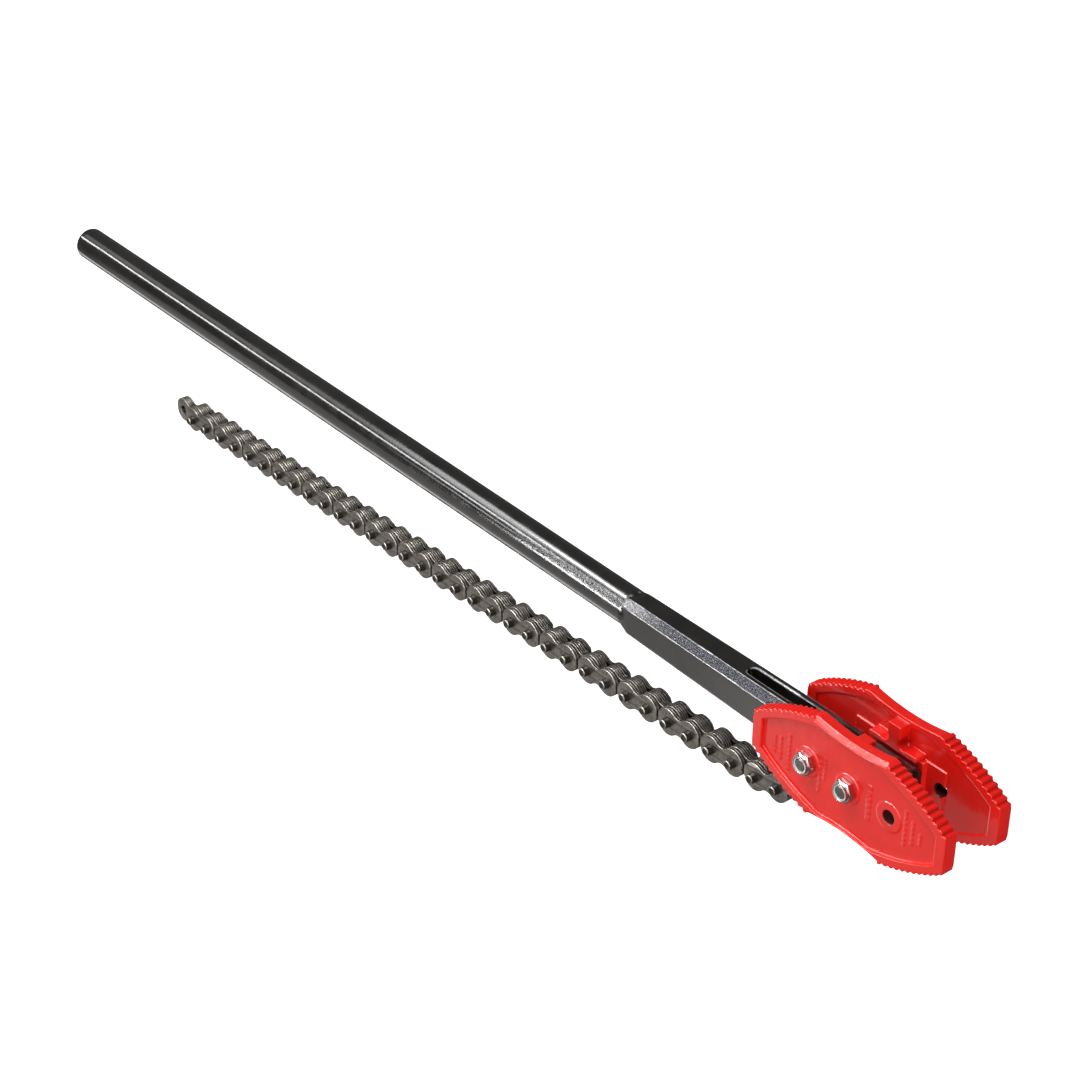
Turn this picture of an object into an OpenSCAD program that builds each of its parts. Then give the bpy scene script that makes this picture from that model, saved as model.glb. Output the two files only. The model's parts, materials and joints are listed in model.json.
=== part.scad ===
// Double-end chain pipe tong: a long bar handle, two toothed jaws bolted to its front
// end, and a leaf chain that swings on the rear jaw bolt.
// The tool lies on its side. The origin is the axis of the open jaw hole, midway
// between the jaws. +X points out of the jaws, away from the grip. +Z is the axis of
// the bolts, with the nuts on top, and +Y runs across the height of the jaws.

/* [Handle] */
// distance from the open jaw hole to the end of the grip
handle_reach = 877; // [600:1:1200]
// diameter of the round grip
grip_d = 24; // [19:0.1:32]
// length of the round grip, up to where the forged octagon starts
grip_len = 638; // [300:1:900]
// width of the bar between the jaws
tongue_w = 25; // [18:0.1:30]
// height of the bar between the jaws
tongue_h = 25.4; // [18:0.1:30]
// upper corner flats of the bar between the jaws
tongue_flat = 5; // [2:0.1:8]
// lower corner flats of the bar, on the chain's side
low_flat = 1.5; // [0.5:0.1:8]
// width of the slot that the chain's anchor link swings in
slot_w = 7.6; // [6:0.1:12]
// how far the slot starts behind the rear bolt
slot_reach = 70; // [30:1:100]

/* [Jaws] */
// length of a jaw
jaw_len = 148; // [100:1:220]
// thickness of a jaw at its rim
jaw_t = 9; // [5:0.1:14]
// free distance between the two jaws
jaw_gap = 32.6; // [26:0.1:45]
// height of a jaw across its waist
waist_h = 61.4; // [40:0.1:90]
// height of a jaw where the toothed arcs start
shoulder_h = 66; // [45:0.1:100]
// height of a jaw at its end face
end_h = 24.4; // [12:0.1:40]
// length of the waist between the toothed arcs
waist_len = 56; // [30:0.5:90]
// how far a toothed arc bulges from a straight line
arc_bulge = 2.2; // [0.5:0.1:6]
// distance between the bolt holes of a jaw
hole_pitch = 31.5; // [20:0.5:50]
// diameter of the bolt holes
hole_d = 8.4; // [6:0.1:14]

/* [Teeth] */
// tooth gaps on each of a jaw's four arcs
gaps = 11; // [5:1:20]
// distance from tooth to tooth
tooth_pitch = 4.45; // [2:0.05:8]
// depth of the gap between two teeth
tooth_depth = 1.7; // [0.5:0.1:3]

/* [Fasteners] */
// diameter of the jaw bolts
bolt_d = 7.9; // [6:0.1:14]
// distance across the flats of bolt heads and nuts
hex_af = 12.7; // [10:0.1:22]
// thickness of the bolt heads
head_t = 5.3; // [3:0.1:10]
// thickness of the nuts' hexagons
nut_t = 4.4; // [3:0.1:12]
// height of the nuts' round crowns
crown_t = 1.8; // [1:0.1:5]

/* [Chain] */
// distance from pin to pin
pitch = 19.05; // [9.525:0.005:38.1]
// links of each kind
pairs = 17; // [4:1:18]
// diameter of the round plate ends
plate_d = 18.1; // [8:0.1:30]
// how far a plate reaches past a pin, where its round end is cut flat
plate_end = 8.6; // [4:0.1:15]
// height of a plate across its waist
plate_waist = 11.4; // [5:0.1:20]
// thickness of one plate
plate_t = 1.6; // [1:0.05:4]
// diameter of the pins
pin_d = 6.3; // [3:0.05:10]
// length of the pins
pin_len = 21.9; // [15:0.1:30]
// distance between the two holes of the anchor link
anchor_len = 62.5; // [40:0.1:80]
// direction of the anchor link from the rear bolt, anticlockwise from +X
anchor_angle = 232.3; // [200:0.1:270]
// direction of the first outer link, anticlockwise from +X
lead_angle = 188.5; // [181:0.1:200]
// direction of the rest of the chain, anticlockwise from +X
chain_angle = 183.15; // [181:0.05:200]

/* [Hidden] */
$fn = 96;
eps = 0.1;

// Jaw levels above the mid-plane
jaw_in = jaw_gap / 2;
jaw_out = jaw_in + jaw_t;
panel_depth = 2.2;
recess = 0.8;
rim = 6;
edge_chamfer = 2.5;
seat_z = jaw_out - panel_depth + 0.5;

// Toothed arc: a disc through the shoulder and the end corner of a jaw
jaw_mid_x = -hole_pitch;
shoulder = [waist_len / 2, shoulder_h / 2];
corner = [jaw_len / 2, end_h / 2];
chord = corner - shoulder;
arc_r = (chord * chord / 4 + arc_bulge * arc_bulge) / (2 * arc_bulge);
arc_out = [-chord.y, chord.x] / norm(chord);
arc_mid = (shoulder + corner) / 2 - arc_out * (arc_r - arc_bulge);
shoulder_a = atan2(shoulder.y - arc_mid.y, shoulder.x - arc_mid.x);
first_gap = 3.3;

// Waist: a large circle that cuts into the outline
waist_drop = 2.9;
waist_r = (waist_len * waist_len / 4 + waist_drop * waist_drop) / (2 * waist_drop);
waist_y = waist_h / 2 + waist_r;
end_round_r = norm([jaw_len / 2, end_h / 2 - 3]);

// Pads, ledges and posts on the inner faces
pad_len = 41.2;
low_pad_len = 69;
low_pad_rise = 0.5;
boss_d = 18;
lug_z = 9.1;
ledge_x = 18;
ledge_y = 15.9;
post_x = 4.6;
post_y = 28.8;
pocket_r = 3.7;

// Handle stations along X, measured from the open hole
tongue_tip = -10.5;
taper_end = -hole_pitch * 2 - 26;
octagon_start = grip_len - handle_reach;
neck_x = octagon_start + 7;
slab_t = 1;
runout_x = octagon_start - 1.5;
runout_w = grip_d * 0.85;
neck_w = 21.8;
neck_h = 22.6;
neck_flat = 4.4;
grip_chamfer = 1.6;

// Chain levels across the stack
stack_t = 4 * plate_t;
groove_w = 0.15;
groove_depth = 0.35;
outer_in = stack_t / 2 + 0.3;
outer_t = 2 * plate_t;
bore_clear = 0.07;
rivet_clear = 0.05;
bolt_clear = 0.08;
rear_bolt = [-2 * hole_pitch, 0];

// Radius of the flat that the corner chamfer leaves on a hexagon, and the nuts' rings
face_r = 0.96 * hex_af / 2;
ring_d = 9.2;

function toward(a) = [cos(a), sin(a)];
anchor_pin = rear_bolt + anchor_len * toward(anchor_angle);
lead_pin = anchor_pin + pitch * toward(lead_angle);
function pin_at(i) = i == 0 ? anchor_pin : lead_pin + (i - 1) * pitch * toward(chain_angle);
function outer_angle(k) = k == 1 ? lead_angle : chain_angle;
function numbered(name, k) = str(name, k < 10 ? "0" : "", k);

// ---------------------------------------------------------------- handle

// Octagonal bar section, w wide along Z and h high along Y, drawn in the YZ plane, with
// corner flats of size high on its +Y side and low on its -Y side
module octagon_slab(x, w, h, high, low) {
    translate([x, 0, 0])
        rotate([90, 0, 90])
            linear_extrude(height = slab_t)
                polygon([
                    [h / 2 - high, w / 2], [h / 2, w / 2 - high],
                    [h / 2, high - w / 2], [h / 2 - high, -w / 2],
                    [low - h / 2, -w / 2], [-h / 2, low - w / 2],
                    [-h / 2, w / 2 - low], [low - h / 2, w / 2]
                ]);
}

// The forged bar: its octagon runs out of the round bar, grows from the neck to the
// jaws, then runs level to its tip
module forged_bar() {
    hull() {
        octagon_slab(runout_x, runout_w, runout_w, neck_flat, neck_flat);
        octagon_slab(neck_x, neck_w, neck_h, neck_flat, low_flat);
        octagon_slab(taper_end, tongue_w, tongue_h, tongue_flat, low_flat);
        octagon_slab(tongue_tip - slab_t, tongue_w, tongue_h, tongue_flat, low_flat);
    }
}

module grip() {
    translate([-handle_reach, 0, 0])
        rotate([0, 90, 0]) {
            cylinder(h = grip_chamfer, r1 = grip_d / 2 - grip_chamfer, r2 = grip_d / 2);
            translate([0, 0, grip_chamfer])
                cylinder(h = grip_len - grip_chamfer, d = grip_d);
        }
}

// The round bar tapers down into the octagon's flats
module grip_shoulder() {
    translate([octagon_start, 0, 0])
        rotate([0, 90, 0])
            cylinder(h = neck_x - octagon_start, d1 = grip_d, d2 = runout_w);
}

module chain_slot() {
    slot_back = rear_bolt.x - slot_reach;
    slot_front = rear_bolt.x + slot_w * 1.4;
    rotate([90, 0, 0])
        linear_extrude(height = 2 * tongue_h, center = true) {
            for (x = [slot_back, slot_front])
                translate([x, 0])
                    circle(d = slot_w);
            translate([slot_back, -slot_w / 2])
                square([slot_front - slot_back, slot_w]);
        }
}

module handle() {
    color("#1c1d20")
        difference() {
            union() {
                grip();
                grip_shoulder();
                forged_bar();
            }
            chain_slot();
            for (i = [1, 2])
                translate([-i * hole_pitch, 0, 0])
                    cylinder(h = 2 * tongue_w, d = hole_d, center = true);
        }
}

// ---------------------------------------------------------------- jaws

module arc_disc(sx, sy, inset) {
    translate([sx * arc_mid.x, sy * arc_mid.y])
        circle(r = arc_r - inset, $fn = 180);
}

// Outline of a jaw, or of the recessed panel in its face when inset is more than 0
module jaw_outline(inset = 0, waist_inset = 0) {
    difference() {
        intersection() {
            square([jaw_len - 2.4 * inset, shoulder_h + 20], center = true);
            circle(r = end_round_r - inset, $fn = 180);
            arc_disc(1, 1, inset);
            arc_disc(1, -1, inset);
            arc_disc(-1, 1, inset);
            arc_disc(-1, -1, inset);
        }
        for (side = [-1, 1])
            intersection() {
                translate([0, side * waist_y])
                    circle(r = waist_r + waist_inset, $fn = 180);
                square([waist_len + (waist_inset > 0 ? waist_len : 0), jaw_len], center = true);
            }
    }
}

// One gap between teeth: steep toward the middle of the jaw, sloping toward its end
module tooth_gap(i) {
    steep = 1.0;
    slope = 2.4;
    over = 0.6;
    rotate(shoulder_a - 90 - (first_gap + i * tooth_pitch) / arc_r * 180 / PI)
        translate([0, arc_r])
            polygon([
                [-steep * (1 + over / tooth_depth), over],
                [0, -tooth_depth],
                [slope * (1 + over / tooth_depth), over]
            ]);
}

module teeth_cut() {
    for (sx = [0, 1], sy = [0, 1])
        mirror([sx, 0])
            mirror([0, sy])
                translate(arc_mid)
                    for (i = [0:gaps - 1])
                        tooth_gap(i);
}

// Slanted edges along the waist, on the outer face
module waist_chamfers() {
    for (side = [-1, 1])
        intersection() {
            translate([0, side * waist_y, jaw_out - edge_chamfer])
                cylinder(h = edge_chamfer + eps, r1 = waist_r,
                         r2 = waist_r + edge_chamfer + eps, $fn = 180);
            cube([waist_len, jaw_len, 4 * jaw_out], center = true);
        }
}

// Ledges and post that catch the ends of a chain pin, at the top and bottom edges
module hook_lugs() {
    root_z = jaw_in + recess + eps;
    for (side = [0, 1])
        mirror([0, side, 0])
            difference() {
                union() {
                    translate([-ledge_x, tongue_h / 2 + 0.2, lug_z])
                        cube([2 * ledge_x, ledge_y - tongue_h / 2 - 0.2, root_z - lug_z]);
                    translate([-post_x, tongue_h / 2 + 0.2, lug_z])
                        cube([2 * post_x, post_y - tongue_h / 2 - 0.2, root_z - lug_z]);
                }
                for (sx = [-1, 1])
                    translate([sx * (post_x + 0.7 * pocket_r), ledge_y + 0.78 * pocket_r, lug_z - eps])
                        cylinder(h = jaw_in - lug_z + eps, r = pocket_r);
            }
}

// The upper jaw, with its own middle on the Z axis
module jaw_solid() {
    difference() {
        union() {
            difference() {
                translate([0, 0, jaw_in])
                    linear_extrude(height = jaw_t)
                        difference() {
                            jaw_outline();
                            teeth_cut();
                        }
                translate([0, 0, jaw_out - panel_depth])
                    linear_extrude(height = panel_depth + eps)
                        jaw_outline(rim, edge_chamfer + 0.8);
                translate([0, 0, jaw_in - eps])
                    linear_extrude(height = recess + eps)
                        jaw_outline(rim, edge_chamfer + 0.8);
                waist_chamfers();
            }
            for (i = [-1, 0, 1])
                translate([i * hole_pitch, 0, jaw_out - panel_depth - eps])
                    cylinder(h = seat_z - jaw_out + panel_depth + eps, d = boss_d);
            translate([-pad_len / 2, -tongue_h / 2, tongue_w / 2])
                cube([pad_len, tongue_h, jaw_in - tongue_w / 2 + recess + eps]);
            translate([-low_pad_len / 2, -tongue_h / 2, jaw_in - low_pad_rise])
                cube([low_pad_len, tongue_h, low_pad_rise + recess + eps]);
            hook_lugs();
        }
        for (i = [-1, 0, 1])
            translate([i * hole_pitch, 0, 0])
                cylinder(h = 2 * jaw_out, d = hole_d);
    }
}

module jaw_upper() {
    color("#d8231f")
        translate([jaw_mid_x, 0, 0])
            jaw_solid();
}

module jaw_lower() {
    color("#d8231f")
        translate([jaw_mid_x, 0, 0])
            mirror([0, 0, 1])
                jaw_solid();
}

// ---------------------------------------------------------------- fasteners

module at_bolts() {
    for (i = [1, 2])
        translate([-i * hole_pitch, 0, 0])
            children();
}

module hexagon(h) {
    cylinder(h = h, d = hex_af / cos(30), $fn = 6);
}

module jaw_bolts() {
    tip_chamfer = 0.5;
    tip = seat_z + nut_t + crown_t - 0.6;
    color("#a9abad")
        at_bolts() {
            translate([0, 0, -seat_z])
                cylinder(h = seat_z + tip - tip_chamfer, d = bolt_d);
            translate([0, 0, tip - tip_chamfer])
                cylinder(h = tip_chamfer, d1 = bolt_d, d2 = bolt_d - 2 * tip_chamfer);
            translate([0, 0, -seat_z - head_t])
                intersection() {
                    hexagon(head_t);
                    cylinder(h = head_t, r1 = face_r, r2 = face_r + head_t * 1.7);
                }
        }
}

module lock_nuts() {
    crown_d = ring_d + 1.4;
    color("#c4c6c8")
        at_bolts()
            translate([0, 0, seat_z])
                difference() {
                    union() {
                        intersection() {
                            hexagon(nut_t);
                            cylinder(h = nut_t, r1 = face_r + nut_t * 1.7, r2 = face_r);
                        }
                        translate([0, 0, nut_t - eps])
                            cylinder(h = crown_t + eps, d = crown_d);
                    }
                    translate([0, 0, -eps])
                        cylinder(h = nut_t + eps, d = bolt_d + 0.1);
                    translate([0, 0, nut_t - eps])
                        cylinder(h = crown_t + 3 * eps, d = ring_d + 0.2);
                }
}

module nut_rings() {
    color("#d9dadb")
        at_bolts()
            translate([0, 0, seat_z + nut_t + 0.05])
                difference() {
                    cylinder(h = crown_t - 0.35, d = ring_d);
                    translate([0, 0, -eps])
                        cylinder(h = crown_t, d = bolt_d + 0.1);
                }
}

// ---------------------------------------------------------------- chain

// A figure-of-eight plate from [0, 0] to [len, 0] with cut ends, shrunk by inset
module plate_outline(len, inset = 0) {
    lobe_r = plate_d / 2;
    half = pitch / 2;
    dip = lobe_r - plate_waist / 2;
    neck_y = (half * half - dip * dip) / (2 * dip);
    neck_r = neck_y - plate_waist / 2;
    touch_x = half * neck_r / (lobe_r + neck_r);
    touch_y = neck_y * lobe_r / (lobe_r + neck_r);
    difference() {
        union() {
            for (x = [0, len])
                intersection() {
                    translate([x, 0])
                        circle(r = lobe_r - inset);
                    translate([inset - plate_end, -lobe_r])
                        square([len + 2 * (plate_end - inset), plate_d]);
                }
            translate([half - touch_x, -touch_y])
                square([len - pitch + 2 * touch_x, 2 * touch_y]);
        }
        for (x = [half, len - half], side = [-1, 1])
            translate([x, side * neck_y])
                circle(r = neck_r + inset);
        if (len > pitch)
            for (side = [0, 1])
                mirror([0, side])
                    translate([half, plate_waist / 2 - inset])
                        square([len - pitch, plate_d]);
    }
}

// Four plates side by side, with thin grooves between them
module laminated(len) {
    leaf = stack_t / 4;
    translate([0, 0, -stack_t / 2]) {
        linear_extrude(height = stack_t)
            plate_outline(len, groove_depth);
        for (i = [0:3])
            translate([0, 0, i * leaf + (i > 0 ? groove_w / 2 : 0)])
                linear_extrude(height = leaf - (i == 1 || i == 2 ? groove_w : groove_w / 2))
                    plate_outline(len);
    }
}

module along_chain(origin, angle) {
    translate([origin.x, origin.y, 0])
        rotate(angle)
            children();
}

module anchor_link() {
    color("#4a4642")
        along_chain(rear_bolt, anchor_angle)
            difference() {
                laminated(anchor_len);
                cylinder(h = 2 * stack_t, d = bolt_d + 2 * bolt_clear, center = true);
                translate([anchor_len, 0, 0])
                    cylinder(h = 2 * stack_t, d = pin_d + 2 * bore_clear, center = true);
            }
}

module outer_link(k) {
    color("#4f4a46")
        along_chain(pin_at(2 * k - 2), outer_angle(k)) {
            for (side = [0, 1])
                mirror([0, 0, side])
                    translate([0, 0, outer_in])
                        difference() {
                            laminated_pair();
                            for (x = [0, pitch])
                                translate([x, 0, -eps])
                                    cylinder(h = outer_t + 2 * eps, d = pin_d + 2 * rivet_clear);
                        }
            for (x = [0, pitch])
                translate([x, 0, 0])
                    cylinder(h = pin_len, d = pin_d, center = true);
        }
}

// Two plates side by side, with a thin groove between them
module laminated_pair() {
    linear_extrude(height = outer_t)
        plate_outline(pitch, groove_depth);
    for (z = [0, plate_t + groove_w / 2])
        translate([0, 0, z])
            linear_extrude(height = plate_t - groove_w / 2)
                plate_outline(pitch);
}

module inner_link(k) {
    color("#4a4642")
        along_chain(pin_at(2 * k - 1), chain_angle)
            difference() {
                laminated(pitch);
                for (x = [0, pitch])
                    translate([x, 0, 0])
                        cylinder(h = 2 * stack_t, d = pin_d + 2 * bore_clear, center = true);
            }
}

handle();
jaw_upper();
jaw_lower();
jaw_bolts();
lock_nuts();
nut_rings();
anchor_link();
for (k = [1:pairs]) {
    outer_link(k);
    inner_link(k);
}
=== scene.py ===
import json
import math

import bmesh
import bpy
import numpy as np
from mathutils import Matrix, Vector, noise
from mathutils.geometry import tessellate_polygon


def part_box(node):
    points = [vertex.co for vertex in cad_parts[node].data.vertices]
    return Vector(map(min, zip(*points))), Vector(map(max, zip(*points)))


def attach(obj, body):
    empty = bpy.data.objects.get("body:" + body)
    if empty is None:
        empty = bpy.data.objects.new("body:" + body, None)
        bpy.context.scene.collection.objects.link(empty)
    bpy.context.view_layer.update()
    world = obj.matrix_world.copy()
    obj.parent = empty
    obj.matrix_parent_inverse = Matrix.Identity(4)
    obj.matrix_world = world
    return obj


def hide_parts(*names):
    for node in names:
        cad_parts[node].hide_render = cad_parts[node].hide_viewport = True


# A double-end chain pipe tong: painted bar handle, two enamelled jaws and a leaf chain.
# Lengths are in metres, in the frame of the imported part: +X out of the jaws, +Z along the bolts.

MM = 0.001
SMOOTH_ANGLE = math.radians(32)

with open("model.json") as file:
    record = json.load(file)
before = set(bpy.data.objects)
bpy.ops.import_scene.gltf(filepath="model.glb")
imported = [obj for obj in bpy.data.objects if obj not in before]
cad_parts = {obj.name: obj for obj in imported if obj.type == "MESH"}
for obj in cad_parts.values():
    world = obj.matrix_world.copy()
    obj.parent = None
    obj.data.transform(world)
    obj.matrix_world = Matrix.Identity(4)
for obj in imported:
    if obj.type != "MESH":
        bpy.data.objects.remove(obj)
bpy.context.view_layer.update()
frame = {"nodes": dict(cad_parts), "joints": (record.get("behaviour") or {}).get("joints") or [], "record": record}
nodes = frame["nodes"]
mounts = {m["name"]: m for m in frame["record"]["mounts"]}
pins = {j["name"]: Vector(j["pos_m"]) for j in frame["joints"]}
link_pairs = sum(1 for name in nodes if name.startswith("outer_link"))

# Sizes that are read off the frame
grip_r = mounts["grip_end"]["dims"]["r_mm"] * MM
grip_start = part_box("handle")[0].x
rear_bolt = pins["anchor_pivot"]
jaw_mid_x = rear_bolt.x / 2
link_pitch = (pins["pin_02"] - pins["pin_01"]).length
chain_end = Vector(mounts["chain_end_eye"]["pos_m"])
pin_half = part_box("outer_link_01")[1].z
hole_r = mounts["jaw_bolt_hole"]["dims"]["r_mm"] * MM
bolt_r = hole_r - 0.25 * MM


# ---------------------------------------------------------------- mesh helpers

def add_object(name, mesh):
    obj = bpy.data.objects.new(name, mesh)
    bpy.context.scene.collection.objects.link(obj)
    return obj


def mesh_from(bm, name):
    bmesh.ops.remove_doubles(bm, verts=bm.verts, dist=1e-7)
    bmesh.ops.recalc_face_normals(bm, faces=bm.faces)
    mesh = bpy.data.meshes.new(name)
    bm.to_mesh(mesh)
    bm.free()
    mesh.polygons.foreach_set("use_smooth", [True] * len(mesh.polygons))
    mesh.set_sharp_from_angle(angle=SMOOTH_ANGLE)
    return mesh


def baked(obj):
    """The mesh of obj with its modifiers applied."""
    depsgraph = bpy.context.evaluated_depsgraph_get()
    mesh = bpy.data.meshes.new_from_object(obj.evaluated_get(depsgraph))
    obj.modifiers.clear()
    obj.data = mesh
    return mesh


def coordinates(mesh):
    co = np.empty(len(mesh.vertices) * 3, np.float32)
    mesh.vertices.foreach_get("co", co)
    return co.reshape(-1, 3).astype(float)


def set_coordinates(mesh, co):
    mesh.vertices.foreach_set("co", co.astype(np.float32).ravel())
    mesh.update()


def store(mesh, name, value):
    """Keeps a number for each vertex, for a material to read."""
    layer = mesh.attributes.new(name, "FLOAT", "POINT")
    layer.data.foreach_set("value", value.astype(np.float32))


def normals(mesh):
    out = np.empty(len(mesh.vertices) * 3, np.float32)
    mesh.vertices.foreach_get("normal", out)
    return out.reshape(-1, 3).astype(float)


def welded(node):
    """A bmesh of a CAD node with the seams of its shading closed."""
    bm = bmesh.new()
    bm.from_mesh(nodes[node].data)
    bmesh.ops.remove_doubles(bm, verts=bm.verts, dist=2e-6)
    return bm


def soft_copy(bm, name, voxel, rounds, most_faces=190000):
    """A copy of a solid with edges rounded the way paint, plating and forging round them."""
    obj = add_object(name, mesh_from(bm, name))
    skin = obj.modifiers.new("skin", "REMESH")
    skin.mode = "VOXEL"
    skin.voxel_size = voxel
    skin.use_smooth_shade = True
    soften = obj.modifiers.new("soften", "SMOOTH")
    soften.factor = 0.5
    soften.iterations = rounds
    mesh = baked(obj)
    triangles = 2 * len(mesh.polygons)
    if triangles > most_faces:
        thin = obj.modifiers.new("thin", "DECIMATE")
        thin.ratio = most_faces / triangles
        mesh = baked(obj)
    mesh.polygons.foreach_set("use_smooth", [True] * len(mesh.polygons))
    return obj


def ring_strip(bm, lower, upper):
    """Quads between two closed rings of vertices with the same count."""
    count = len(lower)
    for i in range(count):
        j = (i + 1) % count
        bm.faces.new((lower[i], lower[j], upper[j], upper[i]))


def prism(bm, outline, holes, levels, painted_shade):
    """A flat solid. outline and each hole are functions of an inset that give 2D points,
    levels lists (z, inset) from bottom to top, and the last argument how much painted shade each level gets."""
    loops = [outline] + holes
    layer = painted_shade_layer(bm)
    rings = []
    for (z, inset), shade_amount in zip(levels, painted_shade):
        rings.append([[bm.verts.new((x, y, z)) for x, y in loop(inset)] for loop in loops])
        for v in (v for ring in rings[-1] for v in ring):
            v[layer] = shade_amount
    for below, above in zip(rings, rings[1:]):
        for lower, upper in zip(below, above):
            ring_strip(bm, lower, upper)
    for level in (rings[0], rings[-1]):
        flat = [[v.co.copy() for v in loop] for loop in level]
        corners = [v for loop in level for v in loop]
        for a, b, c in tessellate_polygon(flat):
            bm.faces.new((corners[a], corners[b], corners[c]))


# painted shade amount kept for each vertex of the chain
def painted_shade_layer(bm):
    return bm.verts.layers.float.get("painted_shade") or bm.verts.layers.float.new("painted_shade")


def rounded_levels(low, high, radius, steps=3):
    """(z, inset) levels of a plate whose two edges are rounded."""
    arc = [radius * (1 - math.cos(math.pi / 2 * i / steps)) for i in range(steps + 1)]
    rise = [radius * math.sin(math.pi / 2 * i / steps) for i in range(steps + 1)]
    start = [(low + radius - rise[i], arc[i]) for i in range(steps, -1, -1)]
    end = [(high - radius + rise[i], arc[i]) for i in range(steps + 1)]
    return start + end


def circle(x, y, radius, count, grows=-1):
    """A circle as a function of inset. grows is 1 for a hole, whose edge rounds outward."""
    def points(inset):
        r = radius + grows * inset
        turn = [2 * math.pi * i / count for i in range(count)]
        return [(x + r * math.cos(a), y + r * math.sin(a)) for a in turn]
    return points


def lathe(bm, profile, count, place):
    """A closed turned solid. profile lists (radius, z) from one pole to the other."""
    rings = []
    for radius, z in profile:
        if radius == 0:
            rings.append([bm.verts.new(place @ Vector((0, 0, z)))])
            continue
        turn = [2 * math.pi * i / count for i in range(count)]
        rings.append([bm.verts.new(place @ Vector((radius * math.cos(a), radius * math.sin(a), z)))
                      for a in turn])
    for lower, upper in zip(rings, rings[1:]):
        if len(lower) == 1 or len(upper) == 1:
            pole, ring = (lower[0], upper) if len(lower) == 1 else (upper[0], lower)
            for i in range(count):
                bm.faces.new((pole, ring[i], ring[(i + 1) % count]))
        else:
            ring_strip(bm, lower, upper)


# ---------------------------------------------------------------- material helpers

class Nodes:
    """A material's node tree, with short ways to add and join nodes."""

    def __init__(self, name):
        self.material = bpy.data.materials.new(name)
        self.material.use_nodes = True
        self.tree = self.material.node_tree
        self.shader = self.tree.nodes["Principled BSDF"]

    def add(self, kind, **values):
        node = self.tree.nodes.new("ShaderNode" + kind)
        for key, value in values.items():
            if key in node.inputs:
                node.inputs[key].default_value = value
            else:
                setattr(node, key, value)
        return node

    def join(self, source, target):
        self.tree.links.new(source, target)

    def set(self, **values):
        for key, value in values.items():
            self.shader.inputs[key.replace("_", " ")].default_value = value

    def place(self, stretch=(1, 1, 1)):
        """Object coordinates, stretched."""
        where = self.add("TexCoord")
        mapping = self.add("Mapping", Scale=stretch)
        self.join(where.outputs["Object"], mapping.inputs["Vector"])
        return mapping.outputs["Vector"]

    def noise(self, scale, detail, rough=0.5, stretch=(1, 1, 1)):
        texture = self.add("TexNoise", Scale=scale, Detail=detail, Roughness=rough)
        self.join(self.place(stretch), texture.inputs["Vector"])
        return texture.outputs["Fac"]

    def spread(self, value, low, high, to_low=0.0, to_high=1.0):
        """value, with low to high spread over to_low to to_high."""
        node = self.add("MapRange")
        node.inputs["From Min"].default_value = low
        node.inputs["From Max"].default_value = high
        node.inputs["To Min"].default_value = to_low
        node.inputs["To Max"].default_value = to_high
        self.join(value, node.inputs["Value"])
        return node.outputs["Result"]

    def math(self, operation, a, b):
        node = self.add("Math", operation=operation)
        for socket, value in zip(node.inputs, (a, b)):
            if isinstance(value, (int, float)):
                socket.default_value = value
            else:
                self.join(value, socket)
        return node.outputs["Value"]

    def mix(self, factor, a, b):
        node = self.add("Mix", data_type="RGBA")
        self.join(factor, node.inputs["Factor"])
        for socket, value in ((node.inputs[6], a), (node.inputs[7], b)):
            if isinstance(value, tuple):
                socket.default_value = (*value, 1)
            else:
                self.join(value, socket)
        return node.outputs[2]

    def edges(self, low, high):
        """1 on raised edges, 0 elsewhere."""
        shape = self.add("NewGeometry")
        return self.spread(shape.outputs["Pointiness"], low, high)

    def bump(self, height, strength, distance, under=None):
        node = self.add("Bump", Strength=strength, Distance=distance)
        self.join(height, node.inputs["Height"])
        if under is not None:
            self.join(under, node.inputs["Normal"])
        return node.outputs["Normal"]


def handle_enamel():
    m = Nodes("handle_enamel")
    mask = m.add("Attribute", attribute_name="forging_and_sheen").outputs["Fac"]
    rim = m.add("Attribute", attribute_name="rim_highlight").outputs["Fac"]
    neck_highlight_mask = m.add("Attribute", attribute_name="neck_highlight").outputs["Fac"]
    cloud = m.spread(m.noise(60, 4), 0.35, 0.65)
    plain = m.mix(cloud, (0.006, 0.0055, 0.005), (0.012, 0.011, 0.010))
    # bluish forging colour on the corner flats; on the round bar behind the shoulder the same colour is a painted
    # sheen
    paint = m.mix(mask, plain, (0.018, 0.023, 0.040))
    # painted highlight: light grey speckle on the corner flats near the shoulder
    speckle = m.math("MULTIPLY", neck_highlight_mask, m.spread(m.noise(700, 3, 0.6), 0.40, 0.58, 0.25, 1.0))
    paint = m.mix(speckle, paint, (0.62, 0.61, 0.62))
    # painted highlight: light grey on the octagon's edges and the slot rims
    rim_glint = m.math("MULTIPLY", rim, m.spread(m.noise(260, 4), 0.35, 0.6, 0.35, 1.0))
    m.join(m.mix(rim_glint, paint, (0.55, 0.54, 0.54)), m.shader.inputs["Base Color"])
    m.set(Metallic=0.0, Coat_Weight=1.0, Coat_Roughness=0.05, Specular_IOR_Level=0.6)
    m.join(m.spread(m.noise(90, 5), 0.3, 0.7, 0.12, 0.26), m.shader.inputs["Roughness"])
    wavy = m.noise(45, 2, 0.5, (0.25, 1, 1))
    peel = m.noise(900, 3)
    grain = m.math("MULTIPLY", m.spread(m.noise(620, 3, 0.6, (0.6, 1, 1)), 0.35, 0.65), mask)
    under = m.bump(wavy, 0.30, 0.0010)
    under = m.bump(peel, 0.30, 0.00012, under)
    top = m.bump(grain, 1.0, 0.0009, under)
    m.join(top, m.shader.inputs["Normal"])
    m.join(top, m.shader.inputs["Coat Normal"])
    return m.material


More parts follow.
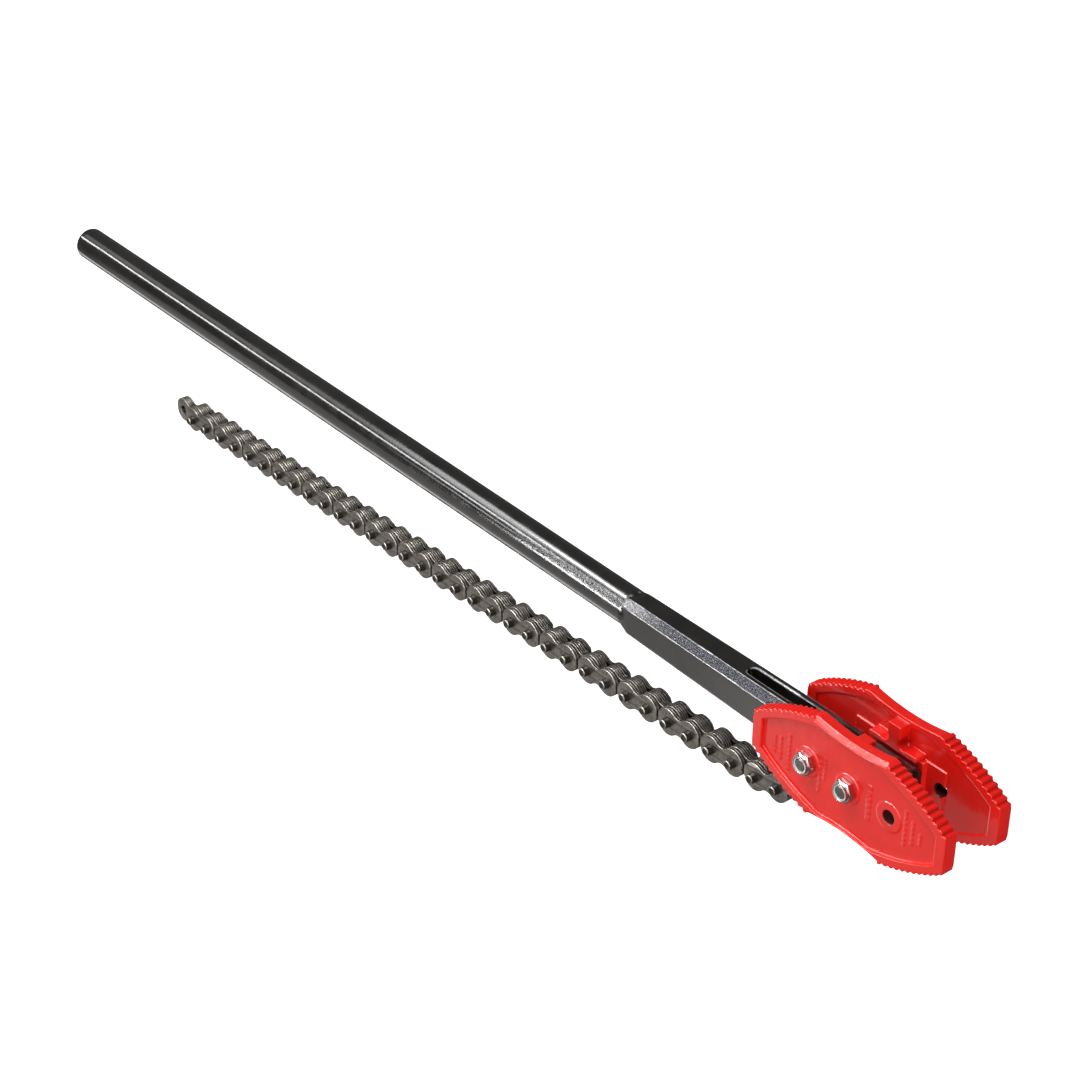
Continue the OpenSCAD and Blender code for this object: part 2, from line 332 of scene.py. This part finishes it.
def jaw_enamel():
    m = Nodes("jaw_enamel")
    cloud = m.spread(m.noise(45, 4), 0.3, 0.7)
    plain = m.mix(cloud, (0.74, 0.009, 0.005), (0.80, 0.013, 0.008))
    edge = m.edges(0.535, 0.60)
    bore_shade = m.add("Attribute", attribute_name="bore_shade").outputs["Fac"]
    # painted highlight: paler paint on the jaws' raised edges
    paint = m.mix(edge, plain, (0.92, 0.12, 0.09))
    # painted shade: dark red on the walls of the bolt holes
    m.join(m.mix(bore_shade, paint, (0.080, 0.010, 0.008)), m.shader.inputs["Base Color"])
    m.set(Coat_Weight=0.9, Coat_Roughness=0.04, Specular_IOR_Level=0.2)
    m.join(m.spread(m.noise(120, 4), 0.3, 0.7, 0.30, 0.45), m.shader.inputs["Roughness"])
    under = m.bump(m.noise(160, 2), 0.20, 0.0005)
    top = m.bump(m.noise(700, 3), 0.3, 0.00010, under)
    m.join(top, m.shader.inputs["Normal"])
    m.join(top, m.shader.inputs["Coat Normal"])
    return m.material


def chain_steel(name, dark, light, shine):
    """Blackened chain steel, lighter on its raised edges: partly rubbed wear and partly a painted highlight."""
    m = Nodes(name)
    info = m.add("ObjectInfo")
    tone = m.spread(m.noise(420, 5, 0.6), 0.2, 0.8)
    base = m.mix(tone, dark, light)
    shade = m.spread(info.outputs["Random"], 0.0, 1.0, 0.0, 0.3)
    base = m.mix(shade, base, dark)
    wear_and_highlight = m.math("MULTIPLY", m.edges(0.51, 0.56), m.spread(m.noise(500, 3), 0.3, 0.5, 0.4, 1.0))
    # raised edges lightened: partly rubbed wear, partly a painted highlight
    base = m.mix(wear_and_highlight, base, shine)
    painted_shade = m.add("Attribute", attribute_name="painted_shade").outputs["Fac"]
    # painted shade: darkens plates where they press on each other, and the pin shanks
    m.join(m.mix(painted_shade, base, (0.010, 0.009, 0.008)), m.shader.inputs["Base Color"])
    m.set(Metallic=0.85)
    m.join(m.spread(m.noise(260, 5), 0.3, 0.7, 0.26, 0.38), m.shader.inputs["Roughness"])
    m.join(m.bump(m.noise(1500, 4, 0.65), 0.25, 0.0001), m.shader.inputs["Normal"])
    return m.material


def zinc(name, dark, light):
    m = Nodes(name)
    tone = m.spread(m.noise(300, 5), 0.3, 0.7)
    m.join(m.mix(tone, dark, light), m.shader.inputs["Base Color"])
    m.set(Metallic=1.0)
    m.join(m.spread(m.noise(420, 4), 0.3, 0.7, 0.10, 0.22), m.shader.inputs["Roughness"])
    m.join(m.bump(m.noise(1100, 3), 0.15, 0.00008), m.shader.inputs["Normal"])
    return m.material


def ring_nylon():
    m = Nodes("nut_ring")
    tone = m.spread(m.noise(700, 4), 0.3, 0.7)
    m.join(m.mix(tone, (0.62, 0.63, 0.64), (0.74, 0.75, 0.76)), m.shader.inputs["Base Color"])
    m.set(Metallic=0.0, Subsurface_Weight=0.1, Subsurface_Scale=0.001)
    m.join(m.spread(m.noise(500, 3), 0.3, 0.7, 0.30, 0.45), m.shader.inputs["Roughness"])
    m.join(m.bump(m.noise(900, 3), 0.2, 0.0001), m.shader.inputs["Normal"])
    return m.material


MATERIALS = {
    "handle_enamel": handle_enamel(),
    "jaw_enamel": jaw_enamel(),
    "chain_outer": chain_steel("chain_outer", (0.036, 0.032, 0.028), (0.056, 0.051, 0.044),
                               (0.74, 0.69, 0.62)),
    "chain_inner": chain_steel("chain_inner", (0.036, 0.032, 0.027), (0.072, 0.064, 0.054),
                               (0.80, 0.73, 0.65)),
    "bolt_zinc": zinc("bolt_zinc", (0.16, 0.17, 0.15), (0.26, 0.27, 0.24)),
    "nut_zinc": zinc("nut_zinc", (0.50, 0.51, 0.52), (0.66, 0.67, 0.68)),
    "nut_ring": ring_nylon(),
}


def finish_piece(obj, body, slot, *replaced):
    """Gives a piece its material and slot, and hangs it on a body of the frame."""
    obj.data.materials.clear()
    obj.data.materials.append(MATERIALS[slot])
    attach(obj, body)
    if replaced:
        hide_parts(*replaced)
    return obj


# ---------------------------------------------------------------- handle

CUT_BACK = 46 * MM      # how far behind the octagon the remeshed head starts
ROUND_BAR_END = 4 * MM  # the bar is exactly round this far behind the octagon's shoulder
GRIP_CLEAR = 1.6 * MM   # the grip mount stops this far short of the shoulder
GRIP_CORNER = 1.6 * MM  # radius of the rounded end of the grip
SLOT_EDGE = 5.2 * MM    # half the width of the strip that holds the slot and its rims
FORGE_RISE = 0.11 * MM  # height of the forging lumps
NECK_HIGHLIGHT_LENGTH = 38 * MM   # of the painted highlight on the corner flats, from the shoulder
PATCH_LENGTH = 110 * MM         # of the painted sheen, with forging grain, on the round bar behind the shoulder
PATCH_MIDDLE = math.radians(55)
PATCH_HALF = math.radians(12)
RIM_FADE = 45 * MM      # over which the painted rim highlights fade, from the jaws' rear end


def octagon_shoulder():
    """X where the round bar ends, which the grip mount gives."""
    mount = mounts["grip_end"]
    return grip_start + mount["dims"]["length_mm"] * MM + GRIP_CLEAR


def handle_piece():
    shoulder = octagon_shoulder()
    seam = shoulder - CUT_BACK / 2
    bm = welded("handle")
    cut = bmesh.ops.bisect_plane(bm, geom=bm.verts[:] + bm.edges[:] + bm.faces[:],
                                 plane_co=(shoulder - CUT_BACK, 0, 0), plane_no=(1, 0, 0),
                                 clear_inner=True)
    rim = [e for e in cut["geom_cut"] if isinstance(e, bmesh.types.BMEdge)]
    bmesh.ops.holes_fill(bm, edges=rim)
    obj = soft_copy(bm, "handle_bar", 0.6 * MM, 6, 165000)

    mesh = obj.data
    co = coordinates(mesh)
    radius = np.hypot(co[:, 1], co[:, 2])
    on_round = (co[:, 0] < shoulder - ROUND_BAR_END) & (radius > grip_r * 0.9)
    co[on_round, 1:] *= (grip_r / radius[on_round])[:, None]
    set_coordinates(mesh, co)

    bm = bmesh.new()
    bm.from_mesh(mesh)
    bmesh.ops.bisect_plane(bm, geom=bm.verts[:] + bm.edges[:] + bm.faces[:],
                           plane_co=(seam, 0, 0), plane_no=(1, 0, 0), clear_inner=True)
    open_loop = [e for e in bm.edges if e.is_boundary]
    for v in {v for e in open_loop for v in e.verts}:
        v.co.yz = v.co.yz.normalized() * grip_r
    grip_loop = add_grip(bm, seam - 2 * MM)
    bmesh.ops.bridge_loops(bm, edges=open_loop + grip_loop)
    obj.data = mesh_from(bm, "handle_bar")
    forge_marks(obj.data, shoulder)
    finish_piece(obj, "frame", "handle_enamel", "handle")


def add_grip(bm, end_x):
    """The round grip from its rounded end to end_x. Returns the edges of its open end."""
    count = 96
    steps = 5
    flat_r = grip_r - GRIP_CORNER
    profile = [(0, grip_start), (flat_r * 0.5, grip_start)]
    for i in range(steps + 1):
        a = math.pi / 2 * i / steps
        profile.append((flat_r + GRIP_CORNER * math.sin(a),
                        grip_start + GRIP_CORNER * (1 - math.cos(a))))
    stations = 120
    side_start = grip_start + GRIP_CORNER
    for i in range(1, stations + 1):
        profile.append((grip_r, side_start + (end_x - side_start) * i / stations))
    before = set(bm.verts)
    lathe(bm, profile, count, Matrix(((0, 0, 1, 0), (0, 1, 0, 0), (-1, 0, 0, 0), (0, 0, 0, 1))))
    new = [v for v in bm.verts if v not in before and abs(v.co.x - end_x) < 1e-6]
    ends = set(new)
    return [e for e in bm.edges if e.is_boundary and e.verts[0] in ends and e.verts[1] in ends]


def forge_marks(mesh, shoulder):
    """Forging texture on the octagon's corner flats, painted highlights on its edges, its slot rims and the flats
    near the shoulder, and a painted sheen on the round bar behind the shoulder.
    """
    co = coordinates(mesh)
    out = normals(mesh)
    along = co[:, 0]
    # lean is 0 on a flat that faces along Y or Z, and 0.7 on a corner flat
    lean = np.minimum(abs(out[:, 1]), abs(out[:, 2]))
    in_slot = abs(co[:, 2]) < SLOT_EDGE
    corner_flat = np.clip((lean - 0.55) / 0.12, 0, 1) * (1 - in_slot)
    # mask of the painted highlight on the slot rims and the octagon's edges
    rim = np.where(in_slot, np.clip((lean - 0.15) / 0.2, 0, 1),
                   np.clip(1.25 - abs(lean - 0.38) / 0.14, 0, 1))
    fade_in = np.clip((along - shoulder) / (3 * MM), 0, 1)
    between_jaws = np.clip((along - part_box("jaw_upper")[0].x) / RIM_FADE, 0, 1)
    near_neck = np.clip(1 - (along - shoulder) / NECK_HIGHLIGHT_LENGTH, 0, 1)
    turn = np.arctan2(abs(co[:, 2]), abs(co[:, 1]))
    # a band around the round bar behind the shoulder, lightened as painted sheen and given forging grain
    sheen_patch = (np.clip(1 - abs(turn - PATCH_MIDDLE) / PATCH_HALF, 0, 1)
             * np.clip(1 - (shoulder - along) / PATCH_LENGTH, 0, 1) * (along < shoulder))
    facet = corner_flat * fade_in
    lumps = np.array([noise.noise(Vector(p) * 900) + 0.6 * noise.noise(Vector(p) * 1900)
                      for p in co[facet > 0]])
    shift = np.zeros(len(co))
    shift[facet > 0] = facet[facet > 0] * (lumps - 0.5) * FORGE_RISE
    set_coordinates(mesh, co + out * shift[:, None])
    # forging on the corner flats, and the painted sheen on the round bar
    store(mesh, "forging_and_sheen", np.maximum(facet, 0.6 * sheen_patch))
    # painted highlight on the corner flats near the shoulder
    store(mesh, "neck_highlight", facet * near_neck)
    # painted highlight on the octagon's edges and the slot rims
    store(mesh, "rim_highlight", rim * fade_in * (1 - between_jaws))


# ---------------------------------------------------------------- jaws

PANEL_DEPTH = 2.2 * MM      # of the recessed panel in a jaw's outer face
WALL_EDGE = 0.45 * MM       # how far outside a bolt hole its painted shade ends
WALL_FADE = 0.35 * MM
MARK_RISE = 0.38 * MM
MARK_SPACE = 1.7            # between dashes, in mm
# Rows of plain raised dashes, which stand for the casting marks: where a row is along the
# jaw from its middle, where it starts and ends across it, and its dashes' length and width, in mm
MARK_ROWS = (
    (-57.5, -8.5, 3.5, 1.7, 1.5),
    (-52.8, -11.0, 5.5, 2.3, 1.7),
    (-46.2, -15.0, 10.5, 1.8, 1.5),
    (-21.7, -15.0, 6.5, 2.0, 1.6),
    (-18.1, -5.0, 10.5, 1.8, 1.5),
    (16.2, -12.0, 12.5, 2.6, 3.0),
    (43.5, -12.5, 12.0, 2.0, 1.7),
    (49.0, -8.5, 8.0, 2.0, 1.7),
    (54.7, -5.0, 3.0, 1.8, 1.5),
)


def casting_marks(bm, panel_z):
    """Dashes that rise from a jaw's outer panel."""
    for row_x, first, last, length, width in MARK_ROWS:
        count = int((last - first) / (length + MARK_SPACE)) + 1
        step = (last - first) / count
        for i in range(count):
            y = first + (i + 0.5) * step
            size = Vector((width, length, 2 * MARK_RISE / MM)) * MM
            where = Vector((jaw_mid_x + row_x * MM, y * MM, panel_z))
            place = Matrix.Translation(where) @ Matrix.Diagonal((*size, 1))
            bmesh.ops.create_cube(bm, size=1.0, matrix=place)


def shade_bores(mesh):
    """Painted shade on the walls of the bolt holes."""
    co = coordinates(mesh)
    wall = np.zeros(len(co))
    for i in range(3):
        distance = np.hypot(co[:, 0] - rear_bolt.x * i / 2, co[:, 1])
        inside = (hole_r + WALL_EDGE - distance) / WALL_FADE
        wall = np.maximum(wall, np.clip(inside, 0, 1))
    store(mesh, "bore_shade", wall)


def jaw_piece(node):
    low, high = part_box(node)
    bm = welded(node)
    casting_marks(bm, high.z - PANEL_DEPTH if high.z > 0 else low.z + PANEL_DEPTH)
    obj = soft_copy(bm, node.replace("jaw", "jaw_plate"), 0.42 * MM, 2)
    shade_bores(obj.data)
    finish_piece(obj, "frame", "jaw_enamel", node)


# ---------------------------------------------------------------- fasteners

def fastener_piece(node, name, voxel, rounds, slot):
    obj = soft_copy(welded(node), name, voxel, rounds)
    finish_piece(obj, "frame", slot, node)


# ---------------------------------------------------------------- chain

PLATE_R = 9.045 * MM
PLATE_END = 8.6 * MM    # the round ends of the plates are cut flat this far past a pin
PLATE_WAIST = 11.4 * MM
PLATE_GAP = 0.30 * MM
PLATE_EDGE = 0.36 * MM  # radius of the plates' rounded edges
PIN_R = 3.15 * MM
PIN_BITE = 0.1 * MM     # how far an outer plate reaches into its pins
PIN_PLAY = 0.08 * MM    # between a plate that turns and its pin or bolt
SIDE_PLAY = 0.5 * MM    # from the side of the CAD inner link to the outer plates
inner_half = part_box("inner_link_01")[1].z
plate_t = inner_half / 2
outer_in = inner_half + SIDE_PLAY


def plate_outline(length):
    """The figure-of-eight outline of a plate from (0, 0) to (length, 0), as a function of inset."""
    half = link_pitch / 2
    far = length - half
    dip = PLATE_R - PLATE_WAIST / 2
    neck_y = (half * half - dip * dip) / (2 * dip)
    neck_r = neck_y - PLATE_WAIST / 2
    touch = math.atan2(neck_y, half)

    def arc(cx, cy, radius, start, end, steps):
        return [(cx + radius * math.cos(start + (end - start) * i / steps),
                 cy + radius * math.sin(start + (end - start) * i / steps)) for i in range(steps)]

    def points(inset):
        r, n = PLATE_R - inset, neck_r + inset
        pi = math.pi
        reach = PLATE_END - inset
        straight = far > half + 0.1 * MM
        loop = (arc(length, 0, r, touch - pi, pi - touch, 36)
                + arc(far, neck_y, n, -touch, -pi / 2, 6)
                + ([(far, neck_y - n)] if straight else [])
                + arc(half, neck_y, n, -pi / 2, touch - pi, 6)
                + arc(0, 0, r, touch, 2 * pi - touch, 36)
                + arc(half, -neck_y, n, pi - touch, pi / 2, 6)
                + ([(half, n - neck_y)] if straight else [])
                + arc(far, -neck_y, n, pi / 2, touch, 6))
        return [(min(max(x, -reach), length + reach), y) for x, y in loop]
    return points


def plate(bm, length, low, high, end_hole_r, start_hole_r, open_low, open_high):
    """One plate. The sides that lie against another plate are darkened as painted shade, fading over their rounded
    edges.
    """
    ends = ((0, start_hole_r or end_hole_r), (length, end_hole_r))
    holes = [circle(x, 0, r, 28, 1) for x, r in ends]
    levels = rounded_levels(low, high, PLATE_EDGE)
    middle = (low + high) / 2
    painted_shade = []
    for z, inset in levels:
        exposed = open_low if z < middle else open_high
        painted_shade.append(0.0 if exposed else min(1.0, 3.0 * inset / PLATE_EDGE))
    prism(bm, plate_outline(length), holes, levels, painted_shade)


def pin_shape(bm, x, half):
    """A pin with peened ends: a shallow dimple, a rounded corner and a shank darkened as painted shade."""
    end = [(0.0, 0.16), (0.30, 0.12), (0.46, 0.02), (0.60, 0.0), (0.78, 0.05), (0.92, 0.20),
           (0.98, 0.38), (1.0, 0.60)]
    head = [(share * PIN_R, -half + drop * MM) for share, drop in end]
    profile = head + [(r, -z) for r, z in reversed(head)]
    layer = painted_shade_layer(bm)
    before = set(bm.verts)
    lathe(bm, profile, 28, Matrix.Translation((x, 0, 0)))
    for v in bm.verts:
        if v not in before:
            # painted shade on the pin's shank, none on its peened ends
            v[layer] = 0.85 if abs(v.co.z) < half - 0.3 * MM else 0.0


def outer_link_mesh():
    bm = bmesh.new()
    for side in (1, -1):
        for layer in range(2):
            near = outer_in + layer * plate_t
            low, high = sorted((side * near, side * (near + plate_t - PLATE_GAP)))
            plate(bm, link_pitch, low, high, PIN_R - PIN_BITE, None,
                  layer == 1 and side < 0, layer == 1 and side > 0)
    for x in (0, link_pitch):
        pin_shape(bm, x, pin_half)
    return mesh_from(bm, "outer_link")


def inner_link_mesh(length, name, start_hole_r=None):
    bm = bmesh.new()
    for layer in range(4):
        low = -inner_half + layer * plate_t
        plate(bm, length, low, low + plate_t - PLATE_GAP, PIN_R + PIN_PLAY, start_hole_r,
              layer == 0, layer == 3)
    return mesh_from(bm, name)


def along(start, end):
    """The place of a link whose holes are at start and end."""
    step = end - start
    return Matrix.Translation(start) @ Matrix.Rotation(math.atan2(step.y, step.x), 4, "Z")


def set_link(name, shape, start, end, slot, node):
    """A link of its own at its place in the chain, so that no two share the same surface."""
    mesh = shape.copy()
    mesh.transform(along(start, end))
    finish_piece(add_object(name, mesh), node, slot, node)


def chain_pieces():
    spots = [pins[f"pin_{i:02d}"] for i in range(1, 2 * link_pairs + 1)] + [chain_end]
    outer, inner = outer_link_mesh(), inner_link_mesh(link_pitch, "inner_link")
    anchor = inner_link_mesh((spots[0] - rear_bolt).length, "anchor", bolt_r + PIN_PLAY)
    set_link("anchor_plates", anchor, rear_bolt, spots[0], "chain_inner", "anchor_link")
    for k in range(link_pairs):
        number = f"{k + 1:02d}"
        set_link(f"outer_plates_{number}", outer, spots[2 * k], spots[2 * k + 1],
                 "chain_outer", f"outer_link_{number}")
        set_link(f"inner_plates_{number}", inner, spots[2 * k + 1], spots[2 * k + 2],
                 "chain_inner", f"inner_link_{number}")


# ---------------------------------------------------------------- stage, light, camera

def floor():
    """A floor that the bolt heads and the end of the grip rest on. Only the camera sees it
    white: to reflections and bounced light it is a dull dark grey."""
    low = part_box("jaw_bolts")[0].z
    bolts_x = rear_bolt.x / 2
    size = 12.0
    bm = bmesh.new()
    bmesh.ops.create_grid(bm, x_segments=8, y_segments=8, size=size / 2)
    obj = add_object("floor", mesh_from(bm, "floor"))
    tilt = math.atan2(-grip_r - low, bolts_x - grip_start)
    obj.matrix_world = Matrix.Translation((bolts_x, 0, low - 0.0004)) @ Matrix.Rotation(tilt, 4, "Y")
    m = Nodes("floor_white")
    m.set(Base_Color=(0.9, 0.9, 0.9, 1), Roughness=0.9, Specular_IOR_Level=0.1,
          Emission_Color=(1, 1, 1, 1), Emission_Strength=0.92)
    dull = m.add("BsdfDiffuse", Color=(0.09, 0.09, 0.09, 1))
    path = m.add("LightPath")
    mix = m.add("MixShader")
    m.join(path.outputs["Is Camera Ray"], mix.inputs["Fac"])
    m.join(dull.outputs["BSDF"], mix.inputs[1])
    m.join(m.shader.outputs["BSDF"], mix.inputs[2])
    m.join(mix.outputs["Shader"], m.tree.nodes["Material Output"].inputs["Surface"])
    obj.data.materials.append(m.material)


def softbox(name, place, aim, width, height, radiance, tint=(1, 1, 1)):
    """A rectangular soft light at place, facing aim, with an even radiance."""
    light = bpy.data.lights.new(name, "AREA")
    light.shape = "RECTANGLE"
    light.size = width
    light.size_y = height
    light.energy = radiance * math.pi * width * height
    light.color = tint
    obj = bpy.data.objects.new(name, light)
    bpy.context.scene.collection.objects.link(obj)
    back = (Vector(place) - Vector(aim)).normalized()
    side = Vector((1, 0, 0)) - back * back.x
    side.normalize()
    turn = Matrix((side, back.cross(side), back)).transposed()
    obj.matrix_world = Matrix.Translation(place) @ turn.to_4x4()
    return obj


def around_bar(name, x, angle, reach, width, height, radiance):
    """A softbox beside the bar. angle is measured about the bar, from +Y toward +Z."""
    turn = math.radians(angle)
    place = (x, reach * math.cos(turn), reach * math.sin(turn))
    return softbox(name, place, (x + 0.5, 0, 0), width, height, radiance)


def lights():
    """Soft lights, placed so that the paint mirrors them where the photograph has highlights.
    The two strips show only in reflections, and the front light never does."""
    world = bpy.data.worlds.new("studio")
    bpy.context.scene.world = world
    world.use_nodes = True
    sky = world.node_tree.nodes["Background"]
    sky.inputs["Color"].default_value = (1, 1, 1, 1)
    sky.inputs["Strength"].default_value = 0.09
    warm = (1.0, 0.94, 0.89)
    around_bar("key", -1.80, 43, 1.04, 0.95, 0.13, 10.0)
    around_bar("key_near", -1.15, 66, 1.04, 0.42, 0.12, 4.0)
    around_bar("band", -1.05, 8, 1.30, 1.10, 0.95, 3.0)
    around_bar("band_far", -2.05, 18, 1.30, 0.90, 0.50, 0.8)
    around_bar("neck", -1.08, 43, 1.04, 0.30, 0.22, 5.0)
    around_bar("waist", -0.57, 44, 1.04, 0.44, 0.07, 5.0)
    for name, angle, radiance in (("edge_low", 88, 24.0), ("edge_high", 14, 20.0)):
        strip = around_bar(name, -0.72, angle, 1.04, 0.76, 0.16, radiance)
        strip.visible_diffuse = False
    softbox("side", (-0.85, -1.15, 1.2), (-0.2, 0, 0), 0.9, 1.1, 0.33, warm)
    softbox("side_far", (-1.95, -1.15, 1.2), (-0.6, 0, 0), 1.3, 2.0, 0.36, warm)
    around_bar("low_side", -1.85, 176, 1.30, 1.50, 0.70, 1.1)
    softbox("over", (-0.35, 2.1, 0.7), (-0.1, 0, 0), 1.6, 1.2, 6.8)
    softbox("top", (0.3, 0.2, 2.2), (-0.2, 0, 0), 2.2, 1.8, 2.35)
    front = softbox("front", (1.9, -0.8, 0.2), (0, 0, 0), 1.3, 0.9, 10.0)
    front.visible_glossy = False


def camera():
    """Long lens, looking down on the upper jaw with the height of the jaws upright."""
    azimuth, elevation, roll = math.radians(50.745), math.radians(31.61), math.radians(1.18)
    target = Vector((-0.3286, 0.0042, 0.0))
    distance = 1.6342
    back = Vector((math.sin(azimuth) * math.cos(elevation), math.sin(elevation),
                   math.cos(azimuth) * math.cos(elevation)))
    right = (-back).cross(Vector((0, 1, 0))).normalized()
    up = right.cross(-back)
    across = math.cos(roll) * right + math.sin(roll) * up
    upright = math.cos(roll) * up - math.sin(roll) * right
    lens = bpy.data.cameras.new("camera")
    lens.sensor_width = 36.0
    lens.lens = 87.53
    lens.clip_start, lens.clip_end = 0.05, 40
    obj = bpy.data.objects.new("camera", lens)
    bpy.context.scene.collection.objects.link(obj)
    turn = Matrix((across, upright, back)).transposed()
    obj.matrix_world = Matrix.Translation(target + back * distance) @ turn.to_4x4()
    bpy.context.scene.camera = obj


# ---------------------------------------------------------------- build

handle_piece()
jaw_piece("jaw_upper")
jaw_piece("jaw_lower")
fastener_piece("jaw_bolts", "bolts", 0.25 * MM, 2, "bolt_zinc")
fastener_piece("lock_nuts", "nuts", 0.16 * MM, 3, "nut_zinc")
fastener_piece("nut_rings", "nut_inserts", 0.12 * MM, 2, "nut_ring")
chain_pieces()
floor()
lights()
camera()
bpy.context.scene.view_settings.view_transform = "Standard"
